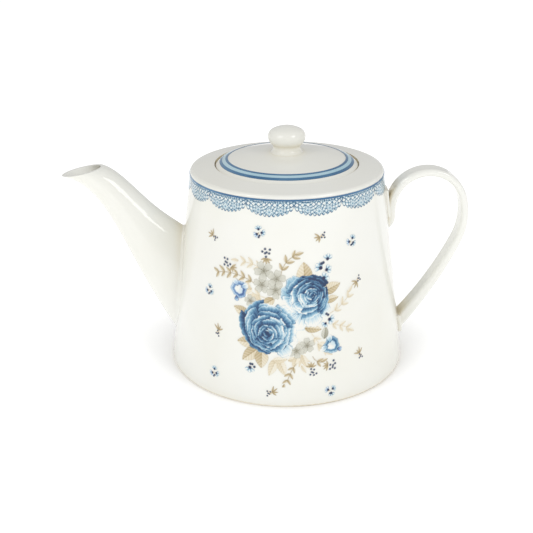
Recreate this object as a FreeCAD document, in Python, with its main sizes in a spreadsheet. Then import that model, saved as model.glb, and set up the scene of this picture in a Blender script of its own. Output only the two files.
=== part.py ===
"""A porcelain teapot: tapered pot, spout, band handle, lid with a knob, and fired-on transfers.

Frame: millimetres, +Z up, origin on the pot's axis at the plane it stands on.
The spout points along -X, the handle along +X, and the main bouquet faces -Y.
"""

import FreeCAD, Part
import math
import os
import Sketcher

# Driving dimensions, in millimetres and degrees, in the order they enter the sheet.
SIZES = {
    # pot: a straight taper with a rounded shoulder edge and a rebate for the lid
    "base_radius": 70.0,
    "taper_top_radius": 54.8,
    "taper_height": 114.6,
    "wall": 3.5,
    "foot_edge": 1.5,
    "foot_ring_width": 6.0,
    "foot_recess": 2.2,
    "floor_thickness": 4.0,
    "floor_corner": 7.0,
    "shoulder_corner": 3.5,
    "shoulder_edge": 1.9,
    "shoulder_rise": 1.7,
    "rebate_radius": 40.9,
    "rebate_depth": 2.8,
    "mouth_radius": 34.4,
    "seat_thickness": 3.5,
    # a corner's arc is a little larger than its run, because the wall leans
    "corner_slack": 1.06,
    # strainer: rows of round holes through the wall behind the spout
    "strainer_height": 44.0,
    "strainer_hole_radius": 2.6,
    "strainer_pitch": 8.0,
    # lid: a low dome with a steeper rim, on a locating flange
    "lid_radius": 40.1,
    "lid_top": 124.8,
    "lid_dome_radius": 156.0,
    "lid_rim_start": 32.4,
    "lid_rim_radius": 17.8,
    "lid_thickness": 3.4,
    "flange_radius": 33.6,
    "flange_thickness": 3.2,
    "flange_depth": 8.0,
    "vent_radius": 1.5,
    "vent_offset": 15.0,
    # knob: a flared base, a neck and a rounded cap
    "knob_base_radius": 9.2,
    "knob_flare_radius": 3.6,
    "knob_neck_radius": 7.9,
    "knob_neck_height": 128.5,
    "knob_under_radius": 6.5,
    "knob_cap_radius": 10.6,
    "knob_cap_height": 133.7,
    "knob_side_radius": 4.8,
    "knob_dome_start": 8.05,
    "knob_dome_height": 137.5,
    "knob_top": 139.4,
    "knob_neck_blend": 2.0,
    # spout: wall thickness, at the mouth too, and the blend at the top and foot of its root
    "spout_wall": 2.6,
    "spout_lip_wall": 1.9,
    "spout_blend_top": 1.2,
    "spout_blend_foot": 3.5,
    # handle: a flat band bent along tangent arcs, on a low pad at each root
    "handle_width": 12.2,
    "handle_root_thickness": 5.4,
    "handle_back_thickness": 4.2,
    "handle_foot_thickness": 7.4,
    "handle_corner": 1.9,
    "handle_start_x": 55.6,
    "handle_start_z": 79.1,
    "handle_start_angle": 53.0,
    "handle_tail": 5.65,
    "handle_tail_bend": 4.0,
    "handle_neck_radius": 60.0,
    "handle_neck_sweep": 8.7,
    "handle_crown_radius": 20.7,
    "handle_crown_sweep": 155.1,
    "handle_back_radius": 39.7,
    "handle_back_sweep": 39.8,
    "handle_leg_radius": 228.0,
    "handle_leg_sweep": 16.8,
    "handle_foot_pad_low": 13.4,
    "handle_foot_pad_high": 24.0,
    "handle_foot_pad_proud": 2.3,
    "handle_root_pad_low": 87.0,
    "handle_root_pad_high": 103.0,
    "handle_root_pad_proud": 1.6,
    "handle_pad_width": 14.0,
    "handle_pad_corner": 1.2,
    # transfers: printed films fired onto the glaze
    "film": 0.2,
    "line_height": 1.0,
    "line_top": 114.4,
    "lace_depth": 8.9,
    "lace_scallops": 14,
    "lace_scallop_radius": 15.0,
    "lace_notch_depth": 3.4,
    "lace_notch_share": 0.92,
    "lace_notch_overrun": 0.5,
    "bouquet_radius": 35.0,
    "bouquet_height": 54.0,
    "sprig_radius": 3.5,
    "outer_line_radius": 38.0,
    "band_outer_radius": 36.5,
    "band_inner_radius": 34.7,
    "inner_line_radius": 33.3,
}

# Spout stations from the root, inside the wall, to the mouth: the middle of the section, its tilt
# from horizontal, half its length in the plane of symmetry, half its width, and how far it is
# narrowed towards its upper point.
SPOUT_STATIONS = {
    "root": (-54.9, 39.2, 81.6, 33.1, 15.0, 0.25),
    "base": (-73.1, 61.9, 74.8, 24.2, 13.8, 0.2),
    "throat": (-86.7, 83.0, 61.3, 14.8, 11.8, 0.1),
    "neck": (-98.0, 100.3, 41.8, 10.2, 9.9, 0.0),
    "bend": (-107.4, 110.2, 21.9, 10.0, 9.5, 0.0),
    "mouth": (-115.8, 114.5, 11.5, 12.3, 9.4, 0.0),
}
HALF_STEPS = 12

# Two places closer than this are taken as the same place.
TOUCH = 0.02

# Small scattered sprigs on one side of the pot: degrees round from the bouquet, and height.
SPRIGS = (
    (-44.0, 90.5),
    (-16.0, 97.0),
    (16.0, 94.0),
    (34.5, 89.0),
    (-44.0, 60.0),
    (36.5, 66.0),
    (-36.5, 39.0),
    (35.5, 25.0),
    (-37.5, 14.0),
    (-8.0, 9.0),
    (19.0, 8.0),
)

Z_AXIS = FreeCAD.Vector(0, 0, 1)
Y_AXIS = FreeCAD.Vector(0, 1, 0)
FLAT_ON_XZ = FreeCAD.Rotation(FreeCAD.Vector(1, 0, 0), 90)

doc = FreeCAD.newDocument("teapot")
sheet = doc.addObject("Spreadsheet::Sheet", "sizes")


# ---------------------------------------------------------------- sheet and sketch helpers

def fill_sheet():
    """Write every driving dimension, and the spout's stations, into the sheet."""
    cells = dict(SIZES)
    for station, numbers in SPOUT_STATIONS.items():
        for part, number in zip(("x", "z", "tilt", "length", "width", "egg"), numbers):
            cells[f"spout_{station}_{part}"] = number
    for row, (alias, number) in enumerate(cells.items(), start=1):
        sheet.set(f"A{row}", alias)
        sheet.set(f"B{row}", str(number))
        sheet.setAlias(f"B{row}", alias)
    doc.recompute()


def value(expression):
    """The number that an expression over the sheet gives."""
    return float(sheet.evalExpression(expression))


def wall_radius(height):
    """Expression for the pot's outer radius at a height."""
    slope = "(sizes.base_radius - sizes.taper_top_radius) / sizes.taper_height"
    return f"(sizes.base_radius - {slope} * ({height}))"


def fix_point(sketch, geometry, end, across, up, name):
    """Hold one end of a sketch curve at a pair of expressions; "0" puts it on the axis."""
    for kind, expression, axis in (("DistanceX", across, -2), ("DistanceY", up, -1)):
        if expression == "0":
            sketch.addConstraint(Sketcher.Constraint("PointOnObject", geometry, end, axis))
            continue
        number = value(expression)
        index = sketch.addConstraint(Sketcher.Constraint(kind, -1, 1, geometry, end, number))
        sketch.renameConstraint(index, f"{name}_{kind[-1]}")
        sketch.setExpression(f".Constraints.{name}_{kind[-1]}", expression)


def add_side(sketch, start, finish, bend):
    """Add a straight or curved side and return its index and which end is its start."""
    if bend is None:
        return sketch.addGeometry(Part.LineSegment(start, finish)), 1, 2
    radius_expression, turn = bend
    radius = value(radius_expression)
    chord = finish - start
    middle = (start + finish) * 0.5
    left = FreeCAD.Vector(-chord.y, chord.x, 0).normalize()
    rise = math.sqrt(max(radius ** 2 - (chord.Length / 2) ** 2, 0.0))
    centre = middle + left * rise * turn
    first, last = (start, finish) if turn > 0 else (finish, start)
    first_angle = math.atan2(first.y - centre.y, first.x - centre.x)
    last_angle = math.atan2(last.y - centre.y, last.x - centre.x)
    circle = Part.Circle(centre, Z_AXIS, radius)
    side = sketch.addGeometry(Part.ArcOfCircle(circle, first_angle, last_angle))
    index = sketch.addConstraint(Sketcher.Constraint("Radius", side, radius))
    sketch.renameConstraint(index, f"bend_{side}")
    sketch.setExpression(f".Constraints.bend_{side}", radius_expression)
    return (side, 1, 2) if turn > 0 else (side, 2, 1)


def outline(sketch, corners, bends=None):
    """Draw a closed outline through corners, each a pair of expressions.

    bends maps the number of a side to (radius expression, turn): the side is then an arc that
    turns left (+1) or right (-1) on its way to the next corner.
    """
    bends = bends or {}
    points = [FreeCAD.Vector(value(across), value(up), 0) for across, up in corners]
    count = len(corners)
    sides = []
    for number in range(count):
        finish = points[(number + 1) % count]
        sides.append(add_side(sketch, points[number], finish, bends.get(number)))
    for number, (across, up) in enumerate(corners):
        side, begin, _ = sides[number]
        previous, _, end = sides[number - 1]
        sketch.addConstraint(Sketcher.Constraint("Coincident", previous, end, side, begin))
        fix_point(sketch, side, begin, across, up, f"corner_{number}")


def new_body(label):
    """A PartDesign body whose label names the node."""
    body = doc.addObject("PartDesign::Body", label)
    body.Label = label
    return body


def new_sketch(body, name, role):
    """A sketch of a body, flat on the body's own origin plane with the given role."""
    sketch = body.newObject("Sketcher::SketchObject", name)
    plane = next(item for item in body.Origin.OriginFeatures if item.Role == role)
    sketch.AttachmentSupport = (plane, [""])
    sketch.MapMode = "FlatFace"
    return sketch


def revolve(body, name, corners, bends=None):
    """Turn a closed outline of (radius, height) corners about the pot's axis."""
    sketch = new_sketch(body, f"{name}_outline", "XZ_Plane")
    outline(sketch, corners, bends)
    turned = body.newObject("PartDesign::Revolution", name)
    turned.Profile = sketch
    turned.ReferenceAxis = (sketch, ["V_Axis"])
    turned.Angle = 360
    return turned


def pocket(body, name, sketch, reversed_cut):
    """Cut a sketch through the body on one side of its plane, and check that it removes metal."""
    before = body.Shape.Volume
    cut = body.newObject("PartDesign::Pocket", name)
    cut.Profile = sketch
    cut.Type = "ThroughAll"
    cut.Reversed = reversed_cut
    doc.recompute()
    if body.Shape.Volume >= before:
        raise RuntimeError(f"{name} cuts nothing")
    return cut


def add_circle(sketch, across, up, radius, name):
    """A full circle held at a pair of expressions, with its radius bound to an expression."""
    centre = FreeCAD.Vector(value(across), value(up), 0)
    circle = sketch.addGeometry(Part.Circle(centre, Z_AXIS, value(radius)))
    fix_point(sketch, circle, 3, across, up, name)
    index = sketch.addConstraint(Sketcher.Constraint("Radius", circle, value(radius)))
    sketch.renameConstraint(index, f"{name}_radius")
    sketch.setExpression(f".Constraints.{name}_radius", radius)


def place(item, axis_x="0", axis_y="0", axis_z="0"):
    """Bind an object's position to expressions."""
    item.setExpression("Placement.Base.x", axis_x)
    item.setExpression("Placement.Base.y", axis_y)
    item.setExpression("Placement.Base.z", axis_z)


def taper(name, offset="0", low="0", high="sizes.taper_height"):
    """A solid cone between two heights whose side lies a given offset outside the pot's wall."""
    cone = doc.addObject("Part::Cone", name)
    cone.setExpression("Radius1", f"{wall_radius(low)} + {offset}")
    cone.setExpression("Radius2", f"{wall_radius(high)} + {offset}")
    cone.setExpression("Height", f"{high} - ({low})")
    place(cone, axis_z=low)
    return cone


def boolean(kind, name, base, tool):
    """A Part::Cut or Part::Common of two objects."""
    result = doc.addObject(kind, name)
    result.Base = base
    result.Tool = tool
    return result


def fuse(name, shapes):
    """A Part::MultiFuse of several objects."""
    joined = doc.addObject("Part::MultiFuse", name)
    joined.Shapes = shapes
    return joined


# ---------------------------------------------------------------- pot

def make_pot():
    """The pot: foot ring, floor, tapered wall, shoulder, lid rebate and strainer holes."""
    body = new_body("pot_body")
    shoulder = "sizes.taper_height + sizes.shoulder_edge"
    rim = f"{shoulder} + sizes.shoulder_rise"
    seat = f"{rim} - sizes.rebate_depth"
    ceiling = f"{seat} - sizes.seat_thickness"
    floor = "sizes.foot_recess + sizes.floor_thickness"
    wall_foot = f"{floor} + sizes.floor_corner"
    wall_head = f"{ceiling} - sizes.shoulder_corner"
    ring_outside = "sizes.base_radius - sizes.foot_edge"
    ring_inside = f"{ring_outside} - sizes.foot_ring_width"
    corners = [
        ("0", "sizes.foot_recess"),
        (f"{ring_inside} - sizes.foot_recess", "sizes.foot_recess"),
        (ring_inside, "0"),
        (ring_outside, "0"),
        (wall_radius("sizes.foot_edge"), "sizes.foot_edge"),
        ("sizes.taper_top_radius", "sizes.taper_height"),
        ("sizes.taper_top_radius - sizes.shoulder_edge", shoulder),
        ("sizes.rebate_radius", rim),
        ("sizes.rebate_radius", seat),
        ("sizes.mouth_radius", seat),
        ("sizes.mouth_radius", ceiling),
        (f"{wall_radius(ceiling)} - sizes.wall - sizes.shoulder_corner", ceiling),
        (f"{wall_radius(wall_head)} - sizes.wall", wall_head),
        (f"{wall_radius(wall_foot)} - sizes.wall", wall_foot),
        (f"{wall_radius(floor)} - sizes.wall - sizes.floor_corner", floor),
        ("0", floor),
    ]
    bends = {
        3: ("sizes.foot_edge", 1),
        5: ("sizes.shoulder_edge * sizes.corner_slack", 1),
        11: ("sizes.shoulder_corner * sizes.corner_slack", -1),
        13: ("sizes.floor_corner * sizes.corner_slack", -1),
    }
    revolve(body, "pot_wall", corners, bends)
    doc.recompute()
    add_strainer(body)
    return body


def add_strainer(body):
    """Seven holes in three rows, cut level through the wall behind the spout."""
    sketch = new_sketch(body, "strainer_outline", "YZ_Plane")
    rows = {-1: (-0.5, 0.5), 0: (-1, 0, 1), 1: (-0.5, 0.5)}
    row_pitch = math.sin(math.radians(60))
    for row, columns in rows.items():
        for column in columns:
            across = "0" if column == 0 else f"sizes.strainer_pitch * {column}"
            up = f"sizes.strainer_height + sizes.strainer_pitch * {row * row_pitch}"
            name = f"hole_{row + 1}_{int(column * 2) + 2}"
            add_circle(sketch, across, up, "sizes.strainer_hole_radius", name)
    pocket(body, "strainer_holes", sketch, reversed_cut=False)


# ---------------------------------------------------------------- spout and handle

def on_wall(edge):
    """True for an edge that lies on the pot's tapered wall but not on its rims or its seam."""
    if edge.Curve.TypeId == "Part::GeomLine":
        return False
    heights = []
    for step in (0.1, 0.37, 0.8):
        span = edge.LastParameter - edge.FirstParameter
        point = edge.valueAt(edge.FirstParameter + span * step)
        heights.append(point.z)
        if abs(math.hypot(point.x, point.y) - value(wall_radius(str(point.z)))) > TOUCH:
            return False
    return 0.1 < min(heights) and max(heights) < value("sizes.taper_height") - 0.1


def blend_to_wall(name, solid, top_radius, foot_radius):
    """Round the corner between a solid and the pot's wall, and keep only what is outside it.

    The rounding changes evenly along each edge, from its upper end to its lower one.
    """
    joined = fuse(f"{name}_on_wall", [taper(f"{name}_wall"), solid])
    doc.recompute()
    rounded = doc.addObject("Part::Fillet", f"{name}_blend")
    rounded.Base = joined
    roundings = []
    for index, edge in enumerate(joined.Shape.Edges, start=1):
        if not on_wall(edge):
            continue
        starts_high = edge.valueAt(edge.FirstParameter).z > edge.valueAt(edge.LastParameter).z
        ends = (top_radius, foot_radius) if starts_high else (foot_radius, top_radius)
        roundings.append((index, *ends))
    rounded.Edges = roundings
    doc.recompute()
    return boolean("Part::Cut", f"{name}_outside", rounded, taper(f"{name}_inside"))


def station_half(station, shrink, side):
    """Half of one spout section, on the near (-1) or far (+1) side of the plane of symmetry.

    The section is an egg: its width follows a sine, reduced towards the upper point. The near half
    runs down from the upper point and the far half runs back up to it.
    """
    cell = f"sizes.spout_{station}"
    tilt = math.radians(value(f"{cell}_tilt"))
    reach = value(f"{cell}_length") - shrink
    width = value(f"{cell}_width") - shrink
    egg = value(f"{cell}_egg")
    middle = FreeCAD.Vector(value(f"{cell}_x"), 0, value(f"{cell}_z"))
    upward = FreeCAD.Vector(math.cos(tilt), 0, math.sin(tilt))
    points = []
    for step in range(HALF_STEPS + 1):
        turn = math.pi * step / HALF_STEPS
        across = width * math.sin(turn) * (1 - egg * math.cos(turn))
        points.append(middle + upward * reach * math.cos(turn) + Y_AXIS * across * side)
    if side > 0:
        points.reverse()
    curve = Part.BSplineCurve()
    curve.interpolate(points)
    return curve.toShape()


def spout_loft(name, shrink, shrink_mouth):
    """A smooth solid through the spout's sections, each made smaller by a wall thickness."""
    wires = []
    for station in SPOUT_STATIONS:
        less = shrink_mouth if station == "mouth" else shrink
        wires.append(Part.Wire([station_half(station, less, side) for side in (-1, 1)]))
    loft = doc.addObject("Part::Feature", name)
    loft.Shape = Part.makeLoft(wires, True)
    return loft


def make_spout():
    """The spout: a tapering curved tube blended to the wall and open into the strainer."""
    outside = spout_loft("spout_skin", 0, 0)
    inside = spout_loft("spout_channel", value("sizes.spout_wall"), value("sizes.spout_lip_wall"))
    top_blend = value("sizes.spout_blend_top")
    foot_blend = value("sizes.spout_blend_foot")
    blended = blend_to_wall("spout", outside, top_blend, foot_blend)
    hollow = boolean("Part::Cut", "spout", blended, inside)
    hollow.Label = "spout"
    return hollow


def handle_path():
    """The handle's centre line: a short tail, then arcs that each leave tangent to the last."""
    path = doc.addObject("Sketcher::SketchObject", "handle_path")
    path.Placement = FreeCAD.Placement(FreeCAD.Vector(), FLAT_ON_XZ)
    heading = math.radians(value("sizes.handle_start_angle"))
    start = FreeCAD.Vector(value("sizes.handle_start_x"), value("sizes.handle_start_z"), 0)
    finish = start + FreeCAD.Vector(math.cos(heading), math.sin(heading), 0) * value("sizes.handle_tail")
    tail = path.addGeometry(Part.LineSegment(start, finish))
    fix_point(path, tail, 1, "sizes.handle_start_x", "sizes.handle_start_z", "start")
    bind_datum(path, "tail_angle", ("Angle", tail), "sizes.handle_start_angle * 1 deg", heading)
    bind_datum(path, "tail_length", ("Distance", tail), "sizes.handle_tail", value("sizes.handle_tail"))
    arcs = (
        ("handle_tail_bend", "90 - sizes.handle_start_angle", 1),
        ("handle_neck_radius", "sizes.handle_neck_sweep", -1),
        ("handle_crown_radius", "sizes.handle_crown_sweep", -1),
        ("handle_back_radius", "sizes.handle_back_sweep", -1),
        ("handle_leg_radius", "sizes.handle_leg_sweep", -1),
    )
    previous, end = tail, 2
    joints = [(start, heading)]
    for radius_name, sweep_expression, turn in arcs:
        radius = value(f"sizes.{radius_name}")
        sweep = math.radians(value(sweep_expression))
        left = FreeCAD.Vector(-math.sin(heading), math.cos(heading), 0)
        centre = finish + left * radius * turn
        from_centre = heading - turn * math.pi / 2
        low, high = sorted((from_centre, from_centre + turn * sweep))
        arc = path.addGeometry(Part.ArcOfCircle(Part.Circle(centre, Z_AXIS, radius), low, high))
        begin, last = (1, 2) if turn > 0 else (2, 1)
        path.addConstraint(Sketcher.Constraint("Tangent", previous, end, arc, begin))
        bind_datum(path, f"{radius_name}_size", ("Radius", arc), f"sizes.{radius_name}", radius)
        bind_datum(path, f"{radius_name}_sweep", ("Angle", arc), f"({sweep_expression}) * 1 deg", sweep)
        heading += turn * sweep
        left = FreeCAD.Vector(-math.sin(heading), math.cos(heading), 0)
        finish = centre - left * radius * turn
        previous, end = arc, last
        joints.append((finish, heading))
    return path, joints


def bind_datum(sketch, name, constraint, expression, number):
    """Add one dimension to a sketch and bind it to an expression."""
    index = sketch.addConstraint(Sketcher.Constraint(*constraint, number))
    sketch.renameConstraint(index, name)
    sketch.setExpression(f".Constraints.{name}", expression)


def handle_section(name, thickness, joint):
    """The band's section, a rectangle with rounded corners, square to its path at a joint."""
    section = doc.addObject("Sketcher::SketchObject", name)
    point, heading = joint
    tilt = FreeCAD.Rotation(Y_AXIS, 90 - math.degrees(heading))
    section.Placement = FreeCAD.Placement(FreeCAD.Vector(point.x, 0, point.y), tilt)
    reach = f"({thickness} / 2)"
    side = "(sizes.handle_width / 2)"
    flat_x = f"({reach} - sizes.handle_corner)"
    flat_y = f"({side} - sizes.handle_corner)"
    corners = [
        (f"-{flat_x}", f"-{side}"),
        (flat_x, f"-{side}"),
        (reach, f"-{flat_y}"),
        (reach, flat_y),
        (flat_x, side),
        (f"-{flat_x}", side),
        (f"-{reach}", flat_y),
        (f"-{reach}", f"-{flat_y}"),
    ]
    rounds = {number: ("sizes.handle_corner", 1) for number in (1, 3, 5, 7)}
    outline(section, corners, rounds)
    return section


def handle_pad(name):
    """A low pad on the wall that carries one of the handle's roots, with rounded outer corners."""
    low = f"sizes.{name}_low"
    proud = f"sizes.{name}_proud"
    block = doc.addObject("Part::Box", f"{name}_block")
    block.setExpression("Length", f"sizes.base_radius / 2 + {proud}")
    block.setExpression("Width", "sizes.handle_pad_width")
    block.setExpression("Height", f"sizes.{name}_high - {low}")
    place(block, "sizes.base_radius / 2", "-sizes.handle_pad_width / 2", low)
    shell = taper(f"{name}_face", offset=proud)
    sharp = boolean("Part::Common", f"{name}_sharp", block, shell)
    doc.recompute()
    pad = doc.addObject("Part::Fillet", name)
    pad.Base = sharp
    corner = value("sizes.handle_pad_corner")
    edges = enumerate(sharp.Shape.Edges, start=1)
    outer = [number for number, edge in edges if stands_proud(edge, value(proud) / 2)]
    pad.Edges = [(number, corner, corner) for number in outer]
    return pad


def stands_proud(edge, distance):
    """True for an edge whose middle is more than a distance outside the wall."""
    middle = edge.valueAt((edge.FirstParameter + edge.LastParameter) / 2)
    return math.hypot(middle.x, middle.y) - value(wall_radius(str(middle.z))) > distance


def make_handle():
    """The handle: a band swept along its path, thinnest at its back, with a pad at each root."""
    path, joints = handle_path()
    sections = [
        handle_section("handle_root_section", "sizes.handle_root_thickness", joints[0]),
        handle_section("handle_back_section", "sizes.handle_back_thickness", joints[3]),
        handle_section("handle_foot_section", "sizes.handle_foot_thickness", joints[5]),
    ]
    doc.recompute()
    band = doc.addObject("Part::Sweep", "handle_band")
    band.Sections = sections
    band.Spine = (path, [f"Edge{number}" for number in range(1, len(path.Shape.Edges) + 1)])
    band.Solid = True
    band.Transition = "Transformed"
    pads = [handle_pad("handle_foot_pad"), handle_pad("handle_root_pad")]
    solid = fuse("handle_solid", [band, *pads])
    handle = boolean("Part::Cut", "handle", solid, taper("handle_inside"))
    handle.Label = "handle"
    return handle


# ---------------------------------------------------------------- lid

DOME_CENTRE = "(sizes.lid_top - sizes.lid_dome_radius)"
RIM_SHARE = "(1 - sizes.lid_rim_radius / sizes.lid_dome_radius)"
RIM_CENTRE_RADIUS = f"(sizes.lid_rim_start * {RIM_SHARE})"


def dome_height(radius, depth="0"):
    """Expression for the height of the lid's dome, or of the surface a depth below it."""
    return f"({DOME_CENTRE} + sqrt((sizes.lid_dome_radius - {depth})^2 - ({radius})^2))"


def rim_height(radius, rise="0"):
    """Expression for the height of the lid's steeper rim, or of the surface a rise above it."""
    centre = f"({DOME_CENTRE} + ({dome_height('sizes.lid_rim_start')} - {DOME_CENTRE}) * {RIM_SHARE})"
    across = f"({radius} - {RIM_CENTRE_RADIUS})"
    return f"({centre} + sqrt((sizes.lid_rim_radius + {rise})^2 - {across}^2))"


def seat_height():
    """Expression for the height of the ledge that the lid rests on."""
    return "(sizes.taper_height + sizes.shoulder_edge + sizes.shoulder_rise - sizes.rebate_depth)"


def make_lid():
    """The lid: a low dome with a flat for the knob, a locating flange and a vent hole."""
    body = new_body("lid")
    flange_inside = "sizes.flange_radius - sizes.flange_thickness"
    underside = dome_height(flange_inside, "sizes.lid_thickness")
    flange_end = f"{seat_height()} - sizes.flange_depth"
    flat = dome_height("sizes.knob_base_radius")
    corners = [
        ("0", "sizes.lid_top - sizes.lid_thickness"),
        (flange_inside, underside),
        (flange_inside, flange_end),
        ("sizes.flange_radius", flange_end),
        ("sizes.flange_radius", seat_height()),
        ("sizes.lid_radius", seat_height()),
        ("sizes.lid_radius", rim_height("sizes.lid_radius")),
        ("sizes.lid_rim_start", dome_height("sizes.lid_rim_start")),
        ("sizes.knob_base_radius", flat),
        ("0", flat),
    ]
    bends = {
        0: ("sizes.lid_dome_radius - sizes.lid_thickness", -1),
        6: ("sizes.lid_rim_radius", 1),
        7: ("sizes.lid_dome_radius", 1),
    }
    revolve(body, "lid_dome", corners, bends)
    doc.recompute()
    vent = new_sketch(body, "vent_outline", "XY_Plane")
    add_circle(vent, "0", "sizes.vent_offset", "sizes.vent_radius", "vent")
    pocket(body, "vent_hole", vent, reversed_cut=True)
    return body


def make_knob():
    """The knob: a flared base on the lid's flat, a neck, and a rounded cap."""
    body = new_body("lid_knob")
    flat = dome_height("sizes.knob_base_radius")
    dome_rise = "sizes.knob_top - sizes.knob_dome_height"
    corners = [
        ("0", flat),
        ("sizes.knob_base_radius", flat),
        ("sizes.knob_neck_radius", "sizes.knob_neck_height"),
        ("sizes.knob_cap_radius", "sizes.knob_cap_height"),
        ("sizes.knob_dome_start", "sizes.knob_dome_height"),
        ("0", "sizes.knob_top"),
    ]
    bends = {
        1: ("sizes.knob_flare_radius", -1),
        2: ("sizes.knob_under_radius", 1),
        3: ("sizes.knob_side_radius", 1),
        4: (f"(sizes.knob_dome_start^2 + ({dome_rise})^2) / (2 * ({dome_rise}))", 1),
    }
    turned = revolve(body, "knob_turned", corners, bends)
    doc.recompute()
    neck = next(number for number, edge in enumerate(turned.Shape.Edges, start=1) if at_neck(edge))
    blend = body.newObject("PartDesign::Fillet", "knob_neck")
    blend.Base = (turned, [f"Edge{neck}"])
    blend.setExpression("Radius", "sizes.knob_neck_blend")
    return body


def at_neck(edge):
    """True for the crease that runs round the knob's neck."""
    box = edge.BoundBox
    height = value("sizes.knob_neck_height")
    return abs(box.ZMin - height) < TOUCH and abs(box.ZMax - height) < TOUCH


# ---------------------------------------------------------------- transfers

def rim_transfer(label, inner, outer):
    """A ring of film on the lid's rim between two radii."""
    body = new_body(label)
    corners = [
        (inner, rim_height(inner)),
        (outer, rim_height(outer)),
        (outer, rim_height(outer, "sizes.film")),
        (inner, rim_height(inner, "sizes.film")),
    ]
    bends = {
        0: ("sizes.lid_rim_radius", -1),
        2: ("sizes.lid_rim_radius + sizes.film", 1),
    }
    revolve(body, f"{label}_film", corners, bends)
    return body


def wall_film(body, name, low, high):
    """A band of film round the pot's wall between two heights."""
    corners = [
        (wall_radius(low), low),
        (f"{wall_radius(low)} + sizes.film", low),
        (f"{wall_radius(high)} + sizes.film", high),
        (wall_radius(high), high),
    ]
    return revolve(body, name, corners)


def make_shoulder_line():
    """The thin line that runs round just under the shoulder."""
    body = new_body("shoulder_line_transfer")
    wall_film(body, "shoulder_line_film", "sizes.line_top - sizes.line_height", "sizes.line_top")
    return body


def make_lace_border():
    """The lace border below the line, with a row of scallops along its lower edge."""
    body = new_body("lace_border_transfer")
    top = "sizes.line_top - sizes.line_height"
    low = f"{top} - sizes.lace_depth"
    notch_top = f"{top} - sizes.lace_notch_depth"
    scallop_width = f"(2 * pi * {wall_radius(notch_top)} / sizes.lace_scallops)"
    foot = f"({scallop_width} * sizes.lace_notch_share / 2)"
    below = f"{low} - sizes.lace_notch_overrun"
    wall_film(body, "lace_film", low, top)
    doc.recompute()
    sketch = new_sketch(body, "notch_outline", "XZ_Plane")
    corners = [("0", notch_top), (f"-{foot}", below), (foot, below)]
    side_curve = ("sizes.lace_scallop_radius", -1)
    outline(sketch, corners, {0: side_curve, 2: side_curve})
    notch = pocket(body, "lace_notch", sketch, reversed_cut=False)
    pattern = body.newObject("PartDesign::PolarPattern", "lace_notches")
    pattern.Originals = [notch]
    vertical = next(item for item in body.Origin.OriginFeatures if item.Role == "Z_Axis")
    pattern.Axis = (vertical, [""])
    pattern.Angle = 360
    pattern.setExpression("Occurrences", "sizes.lace_scallops")
    body.Tip = pattern
    doc.recompute()
    return body


def film_patches(label, rods):
    """The patches that a set of rods cuts from a film all over the wall."""
    face = taper(f"{label}_face", "sizes.film")
    back = taper(f"{label}_back")
    skin = boolean("Part::Cut", f"{label}_skin", face, back)
    patches = boolean("Part::Common", label, skin, rods)
    patches.Label = label
    return patches


def outward_rod(name, degrees, height, radius):
    """A rod that leaves the pot's axis level, at an angle round from -Y."""
    rod = doc.addObject("Part::Cylinder", name)
    rod.setExpression("Radius", radius)
    rod.setExpression("Height", "sizes.base_radius + sizes.wall")
    turn = FreeCAD.Rotation(Z_AXIS, degrees)
    rod.Placement = FreeCAD.Placement(FreeCAD.Vector(), turn.multiply(FLAT_ON_XZ))
    rod.setExpression("Placement.Base.z", height)
    return rod


def make_bouquet(label, degrees):
    """One round bouquet transfer on the wall."""
    rod = outward_rod(f"{label}_rod", degrees, "sizes.bouquet_height", "sizes.bouquet_radius")
    return film_patches(label, rod)


def make_sprigs():
    """The small scattered sprigs on both sides of the pot, as one group of patches."""
    rods = []
    for side in (0, 180):
        for degrees, height in SPRIGS:
            name = f"sprig_rod_{len(rods)}"
            rods.append(outward_rod(name, side + degrees, str(height), "sizes.sprig_radius"))
    return film_patches("sprig_transfers", fuse("sprig_rods", rods))


# ---------------------------------------------------------------- build, check and write

def check(nodes):
    """Stop if any object failed, or if a sub-part has no valid solid."""
    for item in doc.Objects:
        if "Invalid" in item.State or "Error" in item.State:
            raise RuntimeError(f"{item.Label} failed: {item.State}")
    for node in nodes:
        if node.Shape.isNull() or not node.Shape.isValid() or not node.Shape.Solids:
            raise RuntimeError(f"{node.Label} has no valid solid")


def write(nodes):
    """Write each sub-part to its own STEP file."""
    os.makedirs("parts", exist_ok=True)
    for node in nodes:
        node.Shape.exportStep(f"parts/{node.Label}.step")
        box = node.Shape.BoundBox
        print(f"{node.Label:24s} {node.Shape.Volume:10.1f} mm3  {len(node.Shape.Solids)} solid(s)"
              f"  x {box.XMin:.1f}..{box.XMax:.1f}  z {box.ZMin:.1f}..{box.ZMax:.1f}")


def main():
    """Build every sub-part, check the document and write the files."""
    fill_sheet()
    nodes = [
        make_pot(),
        make_spout(),
        make_handle(),
        make_lid(),
        make_knob(),
        rim_transfer("lid_outer_line_transfer", "sizes.band_outer_radius", "sizes.outer_line_radius"),
        rim_transfer("lid_band_transfer", "sizes.band_inner_radius", "sizes.band_outer_radius"),
        rim_transfer("lid_inner_line_transfer", "sizes.inner_line_radius", "sizes.band_inner_radius"),
        make_shoulder_line(),
        make_lace_border(),
        make_bouquet("front_bouquet_transfer", 0),
        make_bouquet("back_bouquet_transfer", 180),
        make_sprigs(),
    ]
    doc.recompute()
    check(nodes)
    write(nodes)


main()
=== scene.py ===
"""The teapot: glazed porcelain over the CAD frame, printed transfers, floor, light and camera.

Everything is in the CAD frame: +Z up, spout along -X, handle along +X, front along -Y. Objects are
in metres. Prints are drawn in millimetres on the pot's wall, unrolled flat: u to the right of a
print's own centre line, v up from the plane the pot stands on.
"""

import math

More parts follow.
